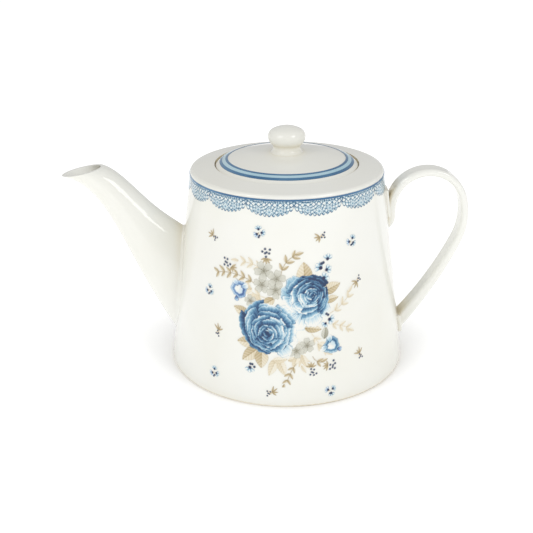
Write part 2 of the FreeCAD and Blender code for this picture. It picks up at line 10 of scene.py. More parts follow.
import bmesh
import bpy
import numpy as np
from mathutils import Euler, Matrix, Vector


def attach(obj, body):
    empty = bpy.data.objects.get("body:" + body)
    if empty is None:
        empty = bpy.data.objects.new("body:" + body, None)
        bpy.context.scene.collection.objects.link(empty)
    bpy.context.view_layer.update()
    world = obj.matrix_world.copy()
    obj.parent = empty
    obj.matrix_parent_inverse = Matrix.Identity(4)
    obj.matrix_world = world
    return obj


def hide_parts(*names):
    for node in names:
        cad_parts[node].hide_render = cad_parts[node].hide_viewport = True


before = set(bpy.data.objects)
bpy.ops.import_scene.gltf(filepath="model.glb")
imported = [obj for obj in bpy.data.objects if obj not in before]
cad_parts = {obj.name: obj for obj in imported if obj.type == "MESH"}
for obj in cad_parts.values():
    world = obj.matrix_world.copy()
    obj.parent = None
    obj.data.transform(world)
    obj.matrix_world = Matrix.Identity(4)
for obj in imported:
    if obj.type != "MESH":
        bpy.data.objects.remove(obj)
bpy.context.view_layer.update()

MM = 0.001
FULL_TURN = 2 * math.pi

# The pot's wall is a straight taper.
BASE_RADIUS = 70.0
TAPER = (70.0 - 54.8) / 114.6

FRONT = 0.0
BACK = math.pi


def wall_radius(height):
    """Radius of the pot's wall at a height, both in millimetres."""
    return BASE_RADIUS - TAPER * height


# ---------------------------------------------------------------- colours

def linear(red, green, blue):
    """An sRGB colour of 0 to 255 as linear light, by the sRGB standard's curve."""
    shares = np.array((red, green, blue)) / 255
    toe = shares / 12.92
    curve = ((shares + 0.055) / 1.055) ** 2.4
    return tuple(float(share) for share in np.where(shares <= 0.04045, toe, curve))


GLAZE = linear(239, 239, 233)
GLAZE_DEEP = linear(232, 230, 216)
BISQUE = linear(222, 214, 200)
# Warm, darker tone laid in occluded nooks: partly glaze pooled there, partly painted shade.
NOOK_POOL_AND_SHADE = linear(226, 212, 176)
SPECK = linear(170, 160, 140)

# Inks run from their deepest tone to bare glaze.
BLUE_INK = [linear(16, 50, 90), linear(42, 90, 132), linear(84, 134, 168),
            linear(140, 182, 204), linear(198, 219, 227), GLAZE]
TAN_INK = [linear(120, 101, 64), linear(160, 140, 99), linear(193, 176, 139),
           linear(217, 204, 175), linear(232, 225, 205), GLAZE]
PALE_TAN_INK = [linear(176, 156, 116), linear(204, 188, 154), linear(222, 210, 182),
                linear(232, 224, 204), linear(236, 232, 218), GLAZE]
GREY_INK = [linear(92, 86, 66), linear(130, 126, 106), linear(162, 160, 142),
            linear(192, 191, 177), linear(220, 219, 208), GLAZE]
VIOLET_INK = [linear(30, 48, 96), linear(58, 88, 142), linear(104, 140, 186),
              linear(156, 188, 214), linear(204, 220, 230), GLAZE]
NAVY = linear(22, 34, 74)
LACE_INK = [linear(36, 82, 116), linear(68, 116, 146), linear(112, 154, 178),
            linear(162, 192, 206), linear(210, 224, 228), GLAZE]


def ink(tones, level):
    """An ink's colour at each level, from 0 for its deepest tone to 1 for bare glaze."""
    steps = np.linspace(0.0, 1.0, len(tones))
    table = np.array(tones)
    return np.stack([np.interp(level, steps, table[:, channel]) for channel in range(3)], axis=-1)


# ---------------------------------------------------------------- painting on the unrolled wall

# Ink levels run from 0, an ink's deepest tone, to 1, bare glaze.
LEAF_LEVEL = 0.46
LEAF_VEINS = 6
VEIN_SLANT = 0.9
STEM_LEVEL = 0.3
STEM_HALF_WIDTH = 0.22
STEM_LEAF_WIDTH = 0.42
PETAL_ROOT_LEVEL = 0.12
PETAL_LIP_LEVEL = 0.84
BLOSSOM_LEVEL = 0.50
STAMENS = 7
STAMEN_REACH = 0.26

# A rose's rings from the outside in, and how many petals each has.
ROSE_RINGS = (8, 8, 7, 6, 6, 5, 4, 3)
ROSE_LEVEL = -0.11
ROSE_CUP = 3.0

# The angle from each berry or ring to the next, in radians: near the golden angle, so none line up.
GOLDEN_TURN = 2.4


def soft(inside, edge=0.3):
    """1 well inside a shape and 0 outside, from the distance inside its outline."""
    return np.clip(inside / edge + 0.5, 0.0, 1.0)


def line(distance, width):
    """A soft line along a place where the distance is 0."""
    return np.exp(-(distance / width) ** 2)


def scatter(number):
    """A fixed, random-looking value of 0 to 1 for each number."""
    return np.modf(np.abs(np.sin(number * 12.9898 + 4.1414) * 43758.5453))[0]


class Sheet:
    """A fine grid over part of the unrolled wall, that a print is painted on."""

    def __init__(self, left, right, low, high, step):
        columns = round((right - left) / step) + 1
        rows = round((high - low) / step) + 1
        self.u, self.v = np.meshgrid(np.linspace(left, right, columns), np.linspace(low, high, rows))
        self.colour = np.ones(self.u.shape + (3,)) * np.array(GLAZE)
        self.cover = np.zeros(self.u.shape)

    def lay(self, mask, colour):
        """Lay a colour, or a colour at every point, as far as the mask allows."""
        share = np.clip(mask, 0.0, 1.0)[..., None]
        self.colour = self.colour * (1.0 - share) + np.asarray(colour) * share
        self.cover = np.maximum(self.cover, share[..., 0])

    def along(self, u, v, degrees):
        """Distances along and to the left of a line that leaves a point at an angle."""
        turn = math.radians(degrees)
        du, dv = self.u - u, self.v - v
        return du * math.cos(turn) + dv * math.sin(turn), dv * math.cos(turn) - du * math.sin(turn)

    def around(self, u, v):
        """Distance and angle from a point."""
        du, dv = self.u - u, self.v - v
        return np.hypot(du, dv), np.arctan2(dv, du)


def paint_leaf(sheet, u, v, degrees, length, width, tones, pale=0.0):
    """A pointed leaf with a midrib, slanting veins and one side in shade."""
    along, across = sheet.along(u, v, degrees)
    share = np.clip(along / length, 0.0, 1.0)
    half = width / 2 * np.sin(math.pi * share ** 0.8) ** 0.8
    inside = half - np.abs(across)
    veins = np.cos((along - VEIN_SLANT * np.abs(across)) * FULL_TURN / (length / LEAF_VEINS))
    shaded_side = np.sign(across) * np.clip(np.abs(across) / 0.3, 0.0, 1.0)
    level = LEAF_LEVEL + 0.12 * shaded_side + 0.08 * veins
    level = level + 0.2 * share - 0.3 * line(across, 0.22) - 0.18 * line(inside, 0.25) + pale
    inside = np.where((along > 0.0) & (along < length), inside, -1.0)
    sheet.lay(soft(inside), ink(tones, level))


def paint_stem(sheet, u, v, degrees, length, bend, pairs, leaf_length, tones, pale=0.0):
    """A curved stem with pairs of small leaves and one at its tip."""
    steps = 3 * pairs
    heading = math.radians(degrees)
    stride = length / steps
    for step in range(steps + 1):
        along, across = sheet.along(u, v, math.degrees(heading))
        reach = np.hypot(along - np.clip(along, 0.0, stride), across)
        if step < steps:
            level = np.full(sheet.u.shape, STEM_LEVEL + pale)
            sheet.lay(soft(STEM_HALF_WIDTH - reach) * 0.85, ink(tones, level))
        if step % 3 == 2:
            for side in (-1, 1):
                lean = math.degrees(heading) + side * (38 + 12 * scatter(step + side))
                size = leaf_length * (0.85 + 0.3 * scatter(step * 2.0 + side))
                paint_leaf(sheet, u, v, lean, size, size * STEM_LEAF_WIDTH, tones, pale)
        u += stride * math.cos(heading)
        v += stride * math.sin(heading)
        heading += math.radians(bend) / steps
    tip_width = leaf_length * STEM_LEAF_WIDTH
    paint_leaf(sheet, u - stride, v, math.degrees(heading), leaf_length, tip_width, tones, pale)


def paint_petal(sheet, u, v, degrees, length, width, tones, pale=0.0, cup=0.9):
    """A broad single petal, deep at its root and frilled at its lip.

    The higher the cup, the nearer to the lip its deep tone reaches.
    """
    along, across = sheet.along(u, v, degrees)
    ruffle = 1.0 + 0.03 * np.sin(across * 1.5 + degrees) + 0.012 * np.sin(across * 3.1)
    share = np.clip(along / (length * ruffle), 0.0, 1.0)
    frill = 1.0 + 0.06 * np.sin(along * 1.9 + across * 1.1)
    half = width / 2 * np.sqrt(np.clip(np.sin(math.pi * share ** 1.6), 0.0, 1.0)) * frill
    inside = np.where((along > 0.0) & (share < 1.0), half - np.abs(across), -1.0)
    turned = np.arctan2(across, along + 3.0)
    streak = np.sin(46 * turned + u) * np.sin(17 * turned + v)
    level = PETAL_ROOT_LEVEL + PETAL_LIP_LEVEL * share ** cup + 0.20 * streak * (1.1 - share) + pale
    level = level - 0.42 * line(inside, 0.24) + 0.16 * line(inside - 0.7, 0.4)
    sheet.lay(soft(inside), ink(tones, np.clip(level, 0.0, 1.0)))


def paint_rose(sheet, u, v, radius, turn, lean, light, shade):
    """A full rose from the front: rings of overlapping petals, the innermost laid last.

    lean is where the heart sits, as a share of the radius. light is the angle, in degrees, that
    the palest petals point to, and shade how much paler they are.
    """
    for ring, petals in enumerate(ROSE_RINGS):
        inward = ring / len(ROSE_RINGS)
        reach = radius * (1.0 - inward) ** 1.05
        length = radius * (0.50 - 0.32 * inward)
        width = 1.2 * FULL_TURN * reach / petals
        shift = radius * min(1.6 * inward, 1.0)
        for petal in range(petals):
            chance = scatter(petal * 3.7 + ring * 7.1 + turn)
            other = scatter(petal * 5.3 + ring * 2.9 + radius)
            angle = turn + ring * GOLDEN_TURN + (petal + 0.5 * (chance - 0.5)) * FULL_TURN / petals
            root = reach * (0.86 + 0.20 * other) - length
            facing = math.cos(angle - math.radians(light)) * (1.0 - 0.6 * inward)
            pale = shade * facing + 0.36 * (chance - 0.5) - 0.06 * inward + ROSE_LEVEL
            paint_petal(sheet, u + lean[0] * shift + root * math.cos(angle),
                        v + lean[1] * shift + root * math.sin(angle),
                        math.degrees(angle) + 44 * (other - 0.5), length, width, BLUE_INK, pale, ROSE_CUP)


def paint_blossom(sheet, u, v, radius, turn, tones):
    """A simple flower of five notched petals with a dotted heart."""
    distance, angle = sheet.around(u, v)
    swirl = angle - turn
    wave = np.abs(np.cos(2.5 * swirl))
    lip = radius * (0.45 + 0.55 * wave ** 0.5) * (1.0 - 0.10 * line(wave - 1.0, 0.06))
    share = np.clip(distance / radius, 0.0, 1.0)
    level = BLOSSOM_LEVEL + 0.30 * share - 0.35 * line(wave, 0.20) - 0.30 * line(lip - distance, 0.28)
    level = level + 0.07 * np.sin(40 * angle) * (1.0 - share) - 0.35 * line(distance, radius * 0.16)
    sheet.lay(soft(lip - distance) * 0.95, ink(tones, np.clip(level, 0.0, 1.0)))
    reach = STAMEN_REACH * radius
    for stamen in range(STAMENS):
        turned = turn + stamen * FULL_TURN / STAMENS
        spot, _ = sheet.around(u + reach * math.cos(turned), v + reach * math.sin(turned))
        sheet.lay(soft(0.22 - spot, 0.25) * 0.8, TAN_INK[0])


def paint_bud(sheet, u, v, radius, turn, tones):
    """A half-open bud: a frilled cup, deep inside its lip and white at its heart."""
    distance, angle = sheet.around(u, v)
    lip = radius * (0.94 + 0.07 * np.sin(3 * angle - turn) + 0.04 * np.sin(8 * angle + turn))
    share = distance / lip
    streak = np.sin(34 * angle + 3 * np.sin(2 * angle)) * np.sin(13 * angle + turn)
    level = np.interp(share, (0.0, 0.46, 0.58, 0.72, 0.90, 1.0), (1.0, 0.90, 0.30, 0.34, 0.70, 0.34))
    level = level + 0.16 * streak * np.clip(share - 0.2, 0.0, 1.0) + 0.10 * np.sin(angle - turn)
    sheet.lay(soft(lip - distance), ink(tones, np.clip(level, 0.0, 1.0)))
    for side in (-1, 1):
        angle = turn + side * 0.5
        paint_petal(sheet, u + 0.35 * radius * math.cos(angle), v + 0.35 * radius * math.sin(angle),
                    math.degrees(angle) + side * 24, radius * 0.9, radius * 0.7, tones, 0.08)
    paint_petal(sheet, u + 0.8 * radius * math.cos(turn + 3.0), v + 0.8 * radius * math.sin(turn + 3.0),
                math.degrees(turn) + 200, 3.2, 2.6, VIOLET_INK, -0.25)


def paint_berries(sheet, u, v, count, size, turn):
    """A tight cluster of navy berries, each with a glint."""
    for berry in range(count):
        reach = size * 1.25 * math.sqrt(berry)
        angle = turn + berry * GOLDEN_TURN
        place = (u + reach * math.cos(angle) * 0.8, v + reach * math.sin(angle))
        distance, _ = sheet.around(*place)
        sheet.lay(soft(size * 0.68 - distance, 0.25), NAVY)
        glint, _ = sheet.around(place[0] - 0.2 * size, place[1] + 0.2 * size)
        sheet.lay(line(glint, 0.2 * size) * 0.6, BLUE_INK[3])


def paint_floret(sheet, u, v, size, degrees, tones=BLUE_INK):
    """A small flower in washes of blue with a navy eye."""
    for petal in range(3):
        lean = degrees + (petal - 1) * 52
        paint_petal(sheet, u, v, lean, size, size * 0.62, tones, 0.08)
    distance, _ = sheet.around(u, v)
    sheet.lay(soft(0.30 * size - distance, 0.3), NAVY)


def paint_berry_sprig(sheet, u, v, turn):
    """Small tan leaves with a few berries at their end."""
    for leaf in range(4):
        lean = turn + (leaf - 1.5) * 38
        paint_leaf(sheet, u, v, lean, 3.0 + 1.2 * scatter(leaf + turn), 1.1, TAN_INK)
    for leaf in range(2):
        paint_leaf(sheet, u, v, turn + 160 + 50 * leaf, 2.4, 0.9, PALE_TAN_INK)
    end = math.radians(turn + 180)
    paint_berries(sheet, u + 2.3 * math.cos(end), v + 2.3 * math.sin(end), 5, 0.72, end)


def paint_floret_sprig(sheet, u, v, turn):
    """Two or three small blue flowers and a pair of berries."""
    lean = math.radians(turn)
    paint_leaf(sheet, u, v, turn + 150, 2.6, 0.8, PALE_TAN_INK)
    for floret in range(3):
        angle = lean + floret * 2.2
        paint_floret(sheet, u + 1.5 * math.cos(angle), v + 1.5 * math.sin(angle), 2.2,
                     math.degrees(angle), VIOLET_INK if floret == 1 else BLUE_INK)
    paint_berries(sheet, u + 0.4, v - 1.8, 2, 0.85, lean)


def paint_bouquet():
    """The bouquet: two roses among buds, grey blossoms, leaves, leafy stems and berries.

    Its arrangement follows the photograph's, with places measured off it. Replace them for a print
    that is the part's own. Places give u, v and what the function named below them takes next.
    """
    sheet = Sheet(-44.0, 38.0, 12.0, 91.0, 0.3)
    for place in (
        (22.0, 52.0, 22, 14.5, 28, 3, 4.6), (21.0, 46.5, 345, 13.5, -12, 3, 4.4),
        (-13.0, 77.0, 152, 12.5, 28, 3, 4.6), (5.0, 38.0, 272, 12.0, 24, 2, 5.2),
        (12.0, 42.0, 300, 13.0, 22, 3, 4.8), (-12.0, 62.0, 172, 12.0, -30, 2, 5.4),
    ):
        paint_stem(sheet, *place, PALE_TAN_INK, 0.08)
    for place in (
        (-7.0, 28.5, 247, 11.0, 5.0), (-6.0, 28.0, 293, 10.0, 4.8), (-9.5, 27.0, 8, 8.5, 3.6),
        (-1.0, 27.5, 12, 7.0, 3.0), (4.5, 30.5, 250, 8.0, 3.6), (6.5, 30.5, 292, 8.0, 3.6),
        (15.0, 36.0, 330, 7.0, 3.6), (-20.0, 66.0, 190, 9.0, 5.0), (-15.0, 60.0, 160, 8.0, 5.0),
    ):
        paint_leaf(sheet, *place, PALE_TAN_INK)
    for place in (
        (-18.0, 69.0, 150, 24.5, 52, 6, 4.4), (-4.4, 74.5, 84, 13.5, -64, 3, 4.8),
        (3.5, 25.5, 236, 11.5, 20, 3, 4.0), (12.5, 29.0, 300, 6.0, 60, 1, 4.4),
    ):
        paint_stem(sheet, *place, TAN_INK)
    for place in (
        (8.2, 69.5, 94, 12.0, 8.4), (18.0, 64.5, 18, 10.5, 6.4), (19.0, 59.5, 6, 8.0, 4.2),
        (-22.0, 51.5, 158, 9.5, 5.6), (-17.5, 36.5, 182, 11.5, 6.8), (-17.0, 33.5, 220, 12.0, 7.0),
        (-15.2, 33.0, 269, 10.5, 7.6), (8.0, 45.5, 350, 9.5, 4.6), (-8.0, 62.0, 214, 9.0, 5.0),
    ):
        paint_leaf(sheet, *place, TAN_INK)
    for place in (
        (-14.6, 69.0, 5.0, 0.3), (-7.4, 66.4, 5.2, 1.0), (-13.5, 76.6, 5.6, 0.8), (-6.8, 72.6, 5.2, 0.1),
        (-21.0, 59.6, 3.6, 0.5), (9.4, 35.6, 4.6, 0.4), (3.6, 32.8, 4.6, 1.1),
    ):
        paint_blossom(sheet, *place, GREY_INK)
    # the second rose, with the petals that hang out of it, then the first in front of it
    for place in (
        (8.0, 58.0, 208, 15.5, 11.0, 0.30), (8.0, 56.5, 246, 13.0, 10.0, 0.26),
        (14.0, 58.0, 318, 9.0, 9.0, 0.04), (11.0, 56.5, 284, 11.0, 9.5, 0.16),
        (5.5, 61.0, 146, 11.5, 9.0, -0.16), (6.0, 63.0, 118, 12.0, 9.0, -0.22),
    ):
        paint_petal(sheet, *place[:5], BLUE_INK, place[5])
    paint_rose(sheet, 9.6, 63.0, 12.0, 0.9, (0.18, 0.02), 222, 0.42)
    paint_petal(sheet, -8.0, 41.5, 338, 12.5, 11.0, BLUE_INK, 0.14)
    paint_petal(sheet, -8.0, 45.5, 8, 12.5, 11.0, BLUE_INK, 0.22)
    paint_petal(sheet, -7.0, 39.0, 308, 11.0, 8.5, BLUE_INK, 0.08)
    paint_rose(sheet, -12.0, 45.2, 15.2, 2.2, (0.0, -0.22), 40, 0.20)
    paint_bud(sheet, -27.6, 64.9, 4.9, 1.3, VIOLET_INK)
    paint_bud(sheet, 23.2, 33.9, 5.0, 2.6, BLUE_INK)
    paint_leaf(sheet, 18.9, 38.2, 84, 7.2, 4.0, GREY_INK)
    for place in (
        (20.4, 82.0, 3.0, 80), (16.6, 77.6, 3.6, 140), (19.9, 76.2, 3.0, 20), (18.4, 72.0, 3.2, 40),
        (21.8, 48.8, 3.2, 340), (19.6, 46.8, 2.4, 230), (-21.8, 22.0, 3.2, 262),
    ):
        paint_floret(sheet, *place)
    for place in (
        (-34.9, 77.9, 7, 0.95, 0.4), (-11.9, 86.6, 7, 0.95, 1.2), (12.8, 19.8, 7, 0.85, 0.3),
        (24.2, 22.4, 7, 0.95, 2.0), (18.0, 80.3, 2, 1.2, 1.0), (21.0, 51.4, 2, 1.1, 0.2),
        (-20.4, 24.0, 3, 1.1, 0.7),
    ):
        paint_berries(sheet, *place)
    for place in ((-31.8, 76.4, 320), (-12.1, 83.4, 270), (11.6, 23.0, 90), (21.2, 22.7, 180)):
        for leaf in range(5):
            paint_leaf(sheet, place[0], place[1], place[2] + 36 * leaf - 72, 3.2, 1.2, TAN_INK)
    return sheet


# ---------------------------------------------------------------- the lace border

SCALLOPS = 14
LACE_TOP = 113.4
LACE_DEPTH = 8.2
NOTCH_DEPTH = 3.4
TEETH = 11

# In degrees. The notches wander a little round the pot, to match the five that the photograph shows.
SWAY = 4.5
SWAY_FROM = -22.0
FIRST_NOTCH = 6.4

FAN_CENTRE = 4.0
RIBS = 13.0
RIB_TWIST = 1.5
# The fan's rosettes: place across as a share of its half width, depth and radius.
ROSETTES = ((0.0, 5.7, 2.1), (-0.46, 4.7, 1.7), (0.46, 4.7, 1.7))
ROW_FLOWERS = 9
ROW_DEPTH = 1.9


def notch_angle(number):
    """Angle round the pot, from the front, of one of the lace's notches."""
    even = number * 360.0 / SCALLOPS + FIRST_NOTCH
    return math.radians(even - SWAY * math.cos(math.radians(even - SWAY_FROM)))


def paint_scallop():
    """One scallop of the lace: a fan of openwork with a toothed edge under a row of small flowers."""
    half = math.pi * wall_radius(LACE_TOP - NOTCH_DEPTH) / SCALLOPS
    sheet = Sheet(-half, half, LACE_TOP - LACE_DEPTH - 0.4, LACE_TOP, 0.18)
    across = sheet.u / half
    down = LACE_TOP - sheet.v
    bow = NOTCH_DEPTH + (LACE_DEPTH - NOTCH_DEPTH) * np.clip(1.0 - np.abs(across) ** 2.0, 0.0, 1.0) ** 0.6
    tooth = np.abs(np.sin(TEETH * math.pi / 2 * (across + 1.0)))
    inside = bow - 1.2 * (1.0 - tooth) ** 1.1 - down
    # the fan's own coordinates, from a point above its middle
    reach = np.hypot(sheet.u, down + FAN_CENTRE)
    angle = np.arctan2(sheet.u, down + FAN_CENTRE)
    twist = reach * RIB_TWIST
    lattice = line(np.sin(angle * RIBS + twist), 0.30) + line(np.sin(angle * RIBS - twist), 0.30)
    patches = 0.5 + 0.5 * np.sin(angle * 2 * RIBS) * np.sin(reach * 2.6)
    level = 1.02 - 0.80 * np.clip(lattice, 0.0, 1.0) - 0.38 * patches
    for centre, depth, radius in ROSETTES:
        distance, turned = sheet.around(centre * half, LACE_TOP - depth)
        petal = radius * (0.60 + 0.40 * np.abs(np.cos(4 * turned)))
        level = np.where(distance < petal, 0.55 + 0.35 * np.abs(np.cos(4 * turned)), level)
        level = level - 0.55 * line(distance - petal, 0.24) - 0.6 * line(distance, 0.5)
    # the row of white flowers under the line
    spacing = 2 * half / ROW_FLOWERS
    offset = (sheet.u / spacing - np.round(sheet.u / spacing)) * spacing
    distance = np.hypot(offset, down - ROW_DEPTH)
    turned = np.arctan2(down - ROW_DEPTH, offset)
    flower = 0.50 + 0.30 * np.abs(np.cos(2 * turned))
    level = np.where(distance < flower, 1.0, level - 0.5 * line(distance - flower - 0.25, 0.26))
    level = level - 0.5 * line(distance, 0.22)
    level = level - 0.5 * line(down - 0.5, 0.22) - 0.6 * line(inside - 0.22, 0.3)
    pale = 0.10 * (1.0 - down / LACE_DEPTH)
    sheet.lay(soft(inside, 0.2), ink(LACE_INK, np.clip(level + pale, 0.0, 1.0)))
    return sheet


# ---------------------------------------------------------------- from a sheet to a film on the wall

FILM_LIFT = 0.06
LEAST_COVER = 0.03


def film_mesh(name, places):
    """A mesh of painted films. places lists (sheet, angle round the pot of its u = 0, stretch)."""
    points, quads, colours = [], [], []
    count = 0
    for sheet, turn, stretch in places:
        rows, columns = sheet.u.shape
        angle = turn + stretch * sheet.u / wall_radius(sheet.v)
        radius = wall_radius(sheet.v) + FILM_LIFT
        grid = np.stack((radius * np.sin(angle), -radius * np.cos(angle), sheet.v), axis=-1) * MM
        inked = sheet.cover > LEAST_COVER
        cells = inked[:-1, :-1] | inked[:-1, 1:] | inked[1:, 1:] | inked[1:, :-1]
        row, column = np.nonzero(cells)
        corner = row * columns + column
        faces = np.stack((corner, corner + 1, corner + columns + 1, corner + columns), axis=1)
        used, faces = np.unique(faces, return_inverse=True)
        points.append(grid.reshape(-1, 3)[used])
        colours.append(sheet.colour.reshape(-1, 3)[used])
        quads.append(faces.reshape(-1, 4) + count)
        count += len(used)
    points, quads, colours = (np.concatenate(group) for group in (points, quads, colours))
    mesh = bpy.data.meshes.new(name)
    mesh.from_pydata(points.tolist(), [], quads.tolist())
    layer = mesh.color_attributes.new("ink", "FLOAT_COLOR", "POINT")
    layer.data.foreach_set("color", np.c_[colours, np.ones(count)].ravel())
    mesh.polygons.foreach_set("use_smooth", np.ones(len(quads), bool))
    return mesh


def film(name, places, material, node, body="pot"):
    """A film that stands for a CAD transfer."""
    mesh = film_mesh(name, places)
    mesh.materials.append(material)
    piece = bpy.data.objects.new(name, mesh)
    bpy.context.scene.collection.objects.link(piece)
    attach(piece, body)
    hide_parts(node)


# ---------------------------------------------------------------- materials

RANGE_ENDS = ("From Min", "From Max", "To Min", "To Max")


class Nodes:
    """A material's node tree, with short calls for the nodes used here."""

    def __init__(self, name, roughness=0.12):
        self.material = bpy.data.materials.new(name)
        self.material.use_nodes = True
        self.tree = self.material.node_tree
        self.tree.nodes.clear()
        self.shader = self.add("ShaderNodeBsdfPrincipled")
        self.shader.inputs["Roughness"].default_value = roughness
        self.shader.inputs["IOR"].default_value = 1.52
        output = self.add("ShaderNodeOutputMaterial")
        self.link(self.shader.outputs["BSDF"], output.inputs["Surface"])

    def add(self, kind, **settings):
        node = self.tree.nodes.new(kind)
        for name, setting in settings.items():
            setattr(node, name, setting)
        return node

    def link(self, source, target):
        self.tree.links.new(source, target)

    def place(self):
        """The object's own coordinates, in metres."""
        return self.add("ShaderNodeTexCoord").outputs["Object"]

    def noise(self, size, detail=2.0):
        """Noise with features of about a size in metres."""
        node = self.add("ShaderNodeTexNoise")
        node.inputs["Scale"].default_value = 1.0 / size
        node.inputs["Detail"].default_value = detail
        self.link(self.place(), node.inputs["Vector"])
        return node.outputs["Fac"]

    def spread(self, source, low, high, to_low, to_high):
        """The source mapped smoothly from one range to another, and clamped."""
        node = self.add("ShaderNodeMapRange", interpolation_type="SMOOTHSTEP")
        for socket, number in zip(RANGE_ENDS, (low, high, to_low, to_high)):
            node.inputs[socket].default_value = number
        self.link(source, node.inputs["Value"])
        return node.outputs["Result"]

    def mix(self, factor, first, second, blend="MIX"):
        """A mix of two colours. Each input is a socket or a plain value."""
        node = self.add("ShaderNodeMix", data_type="RGBA", blend_type=blend)
        for socket, source in zip((node.inputs[0], node.inputs[6], node.inputs[7]), (factor, first, second)):
            if isinstance(source, bpy.types.NodeSocket):
                self.link(source, socket)
            elif isinstance(source, (int, float)):
                socket.default_value = source
            else:
                socket.default_value = (*source, 1.0)
        return node.outputs[2]

    def skin(self):
        """The glaze's faint orange-peel skin."""
        node = self.add("ShaderNodeBump")
        node.inputs["Strength"].default_value = 0.12
        node.inputs["Distance"].default_value = 0.1 * MM
        self.link(self.noise(5.0 * MM, 1.0), node.inputs["Height"])
        self.link(node.outputs["Normal"], self.shader.inputs["Normal"])


def porcelain(name):
    """Glazed porcelain: creamy patches where the glaze pools, warm darker nooks of pooled glaze and painted
    shade, faint specks, and bare at the foot.
    """
    nodes = Nodes(name)
    pool = nodes.spread(nodes.noise(60.0 * MM, 3.0), 0.35, 0.70, 0.0, 0.35)
    colour = nodes.mix(pool, GLAZE, GLAZE_DEEP)
    # Occluded nooks and joints take a warmer, darker tone: partly pooled glaze, partly painted shade.
    nook = nodes.add("ShaderNodeAmbientOcclusion", samples=4)
    nook.inputs["Distance"].default_value = 12.0 * MM
    pooled_and_shaded = nodes.spread(nook.outputs["AO"], 0.10, 0.80, 0.70, 0.0)
    colour = nodes.mix(pooled_and_shaded, colour, NOOK_POOL_AND_SHADE)
    cells = nodes.add("ShaderNodeTexVoronoi", feature="F1")
    cells.inputs["Scale"].default_value = 1.0 / (7.0 * MM)
    nodes.link(nodes.place(), cells.inputs["Vector"])
    rare = nodes.spread(nodes.noise(11.0 * MM, 0.0), 0.66, 0.70, 0.0, 0.5)
    speck = nodes.spread(cells.outputs["Distance"], 0.015, 0.035, 1.0, 0.0)
    both = nodes.add("ShaderNodeMath", operation="MULTIPLY")
    nodes.link(rare, both.inputs[0])
    nodes.link(speck, both.inputs[1])
    colour = nodes.mix(both.outputs[0], colour, SPECK)
    height = nodes.add("ShaderNodeSeparateXYZ")
    nodes.link(nodes.place(), height.inputs[0])
    bare = nodes.spread(height.outputs["Z"], 0.15 * MM, 0.45 * MM, 1.0, 0.0)
    nodes.link(nodes.mix(bare, colour, BISQUE), nodes.shader.inputs["Base Color"])
    nodes.link(nodes.spread(bare, 0.0, 1.0, 0.07, 0.75), nodes.shader.inputs["Roughness"])
    nodes.skin()
    return nodes.material


def enamel(name, thick, thin):
    """A banded enamel: one ink, thicker and thinner round the pot, with a fine printed grain."""
    nodes = Nodes(name, 0.16)
    flow = nodes.spread(nodes.noise(30.0 * MM, 2.0), 0.35, 0.65, 0.0, 1.0)
    colour = nodes.mix(flow, thick, thin)
    grain = nodes.spread(nodes.noise(0.6 * MM, 1.0), 0.3, 0.7, 0.0, 0.25)
    nodes.link(nodes.mix(grain, colour, thin), nodes.shader.inputs["Base Color"])
    nodes.skin()
    return nodes.material


def printed(name):
    """The ink of a painted film, with the grain of its printing screen."""
    nodes = Nodes(name, 0.14)
    colour = nodes.add("ShaderNodeAttribute", attribute_name="ink").outputs["Color"]
    grain = nodes.spread(nodes.noise(0.5 * MM, 1.0), 0.30, 0.70, 0.90, 1.0)
    shade = nodes.add("ShaderNodeCombineColor")
    for channel in ("Red", "Green", "Blue"):
        nodes.link(grain, shade.inputs[channel])
    nodes.link(nodes.mix(0.5, colour, shade.outputs[0], "MULTIPLY"), nodes.shader.inputs["Base Color"])
    nodes.skin()
    return nodes.material


def dress(node, material):
    """Give a carried-over CAD node its material."""
    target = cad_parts[node]
    if not target.material_slots:
        target.data.materials.append(material)
    for slot in target.material_slots:
        slot.material = material
    for polygon in target.data.polygons:
        polygon.use_smooth = True


def make_finishes():
    """The materials of the porcelain and of the plain bands."""
    glaze = porcelain("porcelain_glaze")
    for node in ("pot_body", "spout", "handle", "lid", "lid_knob"):
        dress(node, glaze)
    dark = enamel("dark_blue_enamel", linear(52, 98, 138), linear(84, 128, 164))
    dress("lid_inner_line_transfer", dark)
    dress("lid_outer_line_transfer", dark)
    dress("shoulder_line_transfer", dark)
    dress("lid_band_transfer", enamel("pale_blue_enamel", linear(160, 198, 214), linear(186, 214, 224)))


# Small sprigs on one side of the pot, where the photograph has them, on the CAD's patches:
# degrees round from the bouquet, height, and turn.
BERRY_SPRIGS = ((-44.0, 90.5, 150), (16.0, 94.0, 200), (36.5, 66.0, 220), (-36.5, 39.0, 80),
                (35.5, 25.0, 110), (-8.0, 9.0, 20))
FLORET_SPRIGS = ((-16.0, 97.0, 100), (34.5, 89.0, 60), (-44.0, 60.0, 80), (-37.5, 14.0, 90),
                 (19.0, 8.0, 30))
SPRIG_REACH = 5.0
FINE_STEP = 0.18


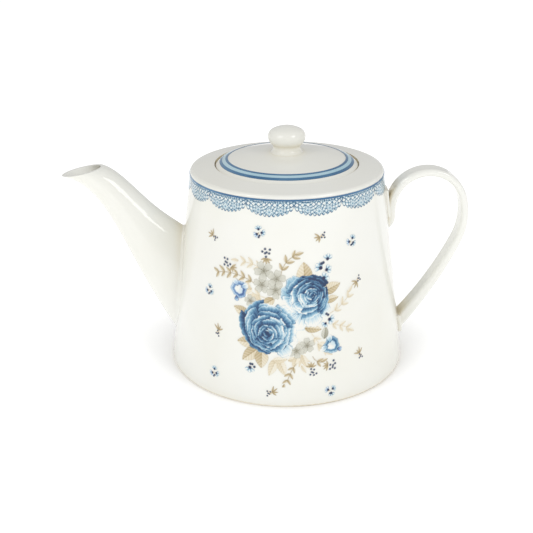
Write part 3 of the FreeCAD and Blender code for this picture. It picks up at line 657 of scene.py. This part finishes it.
def make_transfers():
    """The printed films: a bouquet on each side, the sprigs round it, and the lace border."""
    print_ink = printed("printed_flowers")
    bouquet = paint_bouquet()
    film("front_bouquet", [(bouquet, FRONT, 1.0)], print_ink, "front_bouquet_transfer")
    film("back_bouquet", [(bouquet, BACK, 1.0)], print_ink, "back_bouquet_transfer")
    sprigs = []
    for paint, group in ((paint_berry_sprig, BERRY_SPRIGS), (paint_floret_sprig, FLORET_SPRIGS)):
        for degrees, height, turn in group:
            sheet = Sheet(-SPRIG_REACH, SPRIG_REACH, height - SPRIG_REACH, height + SPRIG_REACH, FINE_STEP)
            paint(sheet, 0.0, height, turn)
            sprigs += [(sheet, math.radians(degrees) + side, 1.0) for side in (FRONT, BACK)]
    film("sprigs", sprigs, print_ink, "sprig_transfers")
    lace = paint_scallop()
    lace_ink = printed("printed_lace")
    notches = [notch_angle(number) for number in range(SCALLOPS + 1)]
    scallops = []
    for left, right in zip(notches, notches[1:]):
        stretch = (right - left) * SCALLOPS / FULL_TURN
        scallops.append((lace, (left + right) / 2, stretch))
    film("lace_border", scallops, lace_ink, "lace_border_transfer")


# ---------------------------------------------------------------- floor, light and camera

FLOOR_HALF_WIDTH = 6.0
# How far round the pot the floor's painted contact shadow reaches.
CONTACT_SHADOW_REACH = 65.0 * MM

# The softboxes in front of the pot, to its left and right, in metres and watts.
SOFTBOX_PLACE = (0.9, -0.86, 1.0)
SOFTBOX_SIZE = (0.6, 0.55)
SOFTBOX_POWER = 4.4
SOFTBOX_TARGET = (0.0, 0.0, 0.07)

# The surroundings' strength in front of the pot, and overhead and behind as shares of it.
WORLD_FRONT = 0.64
WORLD_OVERHEAD = 0.96
WORLD_BEHIND = 0.92

# The viewpoint, found by fitting the pot's rims, stripes and base to the photograph.
CAMERA_PLACE = Vector((-11.96, -464.0, 252.9)) * MM
CAMERA_TARGET = Vector((-11.96, 0.0, 54.07)) * MM
CAMERA_ROLL = -0.009
CAMERA_LENS = 57.17
CAMERA_SENSOR = 36.0


def make_stage():
    """A plain white table top that glows with a little light of its own, dimmed beside the pot as a painted
    contact shadow.
    """
    grid = bmesh.new()
    bmesh.ops.create_grid(grid, x_segments=2, y_segments=2, size=FLOOR_HALF_WIDTH)
    mesh = bpy.data.meshes.new("floor")
    grid.to_mesh(mesh)
    grid.free()
    floor = bpy.data.objects.new("floor", mesh)
    bpy.context.scene.collection.objects.link(floor)
    nodes = Nodes("floor_white", 0.9)
    nodes.shader.inputs["Specular IOR Level"].default_value = 0.1
    nodes.shader.inputs["Base Color"].default_value = (*linear(250, 250, 250), 1.0)
    nodes.shader.inputs["Emission Color"].default_value = (1.0, 1.0, 1.0, 1.0)
    # Painted contact shadow: the floor's glow is turned down where the pot occludes it.
    contact_shadow = nodes.add("ShaderNodeAmbientOcclusion", samples=16)
    contact_shadow.inputs["Distance"].default_value = CONTACT_SHADOW_REACH
    glow = nodes.spread(contact_shadow.outputs["AO"], 0.50, 0.98, 0.10, 0.43)
    nodes.link(glow, nodes.shader.inputs["Emission Strength"])
    mesh.materials.append(nodes.material)


def make_light(name, place, target, size, power):
    """A rectangular softbox aimed at a target."""
    light = bpy.data.lights.new(name, "AREA")
    light.shape = "RECTANGLE"
    light.size, light.size_y = size
    light.energy = power
    lamp = bpy.data.objects.new(name, light)
    lamp.location = place
    lamp.rotation_euler = (Vector(target) - Vector(place)).to_track_quat("-Z", "Y").to_euler()
    bpy.context.scene.collection.objects.link(lamp)


def make_world():
    """Soft white surroundings: brightest in front of the pot, dimmer overhead and behind."""
    world = bpy.data.worlds.new("studio")
    bpy.context.scene.world = world
    world.use_nodes = True
    tree = world.node_tree
    background = tree.nodes["Background"]
    coordinates = tree.nodes.new("ShaderNodeTexCoord")
    parts = tree.nodes.new("ShaderNodeSeparateXYZ")
    tree.links.new(coordinates.outputs["Generated"], parts.inputs["Vector"])
    product = tree.nodes.new("ShaderNodeMath")
    product.operation = "MULTIPLY"
    for socket, axis, start, end, near, far in (
        (0, "Z", 0.1, 0.95, WORLD_FRONT, WORLD_OVERHEAD * WORLD_FRONT),
        (1, "Y", -0.6, 0.9, 1.0, WORLD_BEHIND),
    ):
        share = tree.nodes.new("ShaderNodeMapRange")
        share.interpolation_type = "SMOOTHSTEP"
        for name, number in zip(RANGE_ENDS, (start, end, near, far)):
            share.inputs[name].default_value = number
        tree.links.new(parts.outputs[axis], share.inputs["Value"])
        tree.links.new(share.outputs["Result"], product.inputs[socket])
    tree.links.new(product.outputs[0], background.inputs["Strength"])
    background.inputs["Color"].default_value = (1.0, 1.0, 1.0, 1.0)


def make_camera():
    """The photograph's viewpoint: 23 degrees above the table, half a metre away."""
    data = bpy.data.cameras.new("camera")
    data.sensor_width = CAMERA_SENSOR
    data.lens = CAMERA_LENS
    camera = bpy.data.objects.new("camera", data)
    camera.location = CAMERA_PLACE
    facing = (CAMERA_TARGET - CAMERA_PLACE).to_track_quat("-Z", "Y").to_matrix()
    camera.rotation_euler = (facing @ Euler((0.0, 0.0, CAMERA_ROLL)).to_matrix()).to_euler()
    bpy.context.scene.collection.objects.link(camera)
    bpy.context.scene.camera = camera


make_finishes()
make_transfers()
make_stage()
make_world()
for side, side_name in ((-1, "front_left"), (1, "front_right")):
    box_place = (side * SOFTBOX_PLACE[0], SOFTBOX_PLACE[1], SOFTBOX_PLACE[2])
    make_light(side_name, box_place, SOFTBOX_TARGET, SOFTBOX_SIZE, SOFTBOX_POWER)
make_camera()
bpy.context.scene.view_settings.view_transform = "Standard"
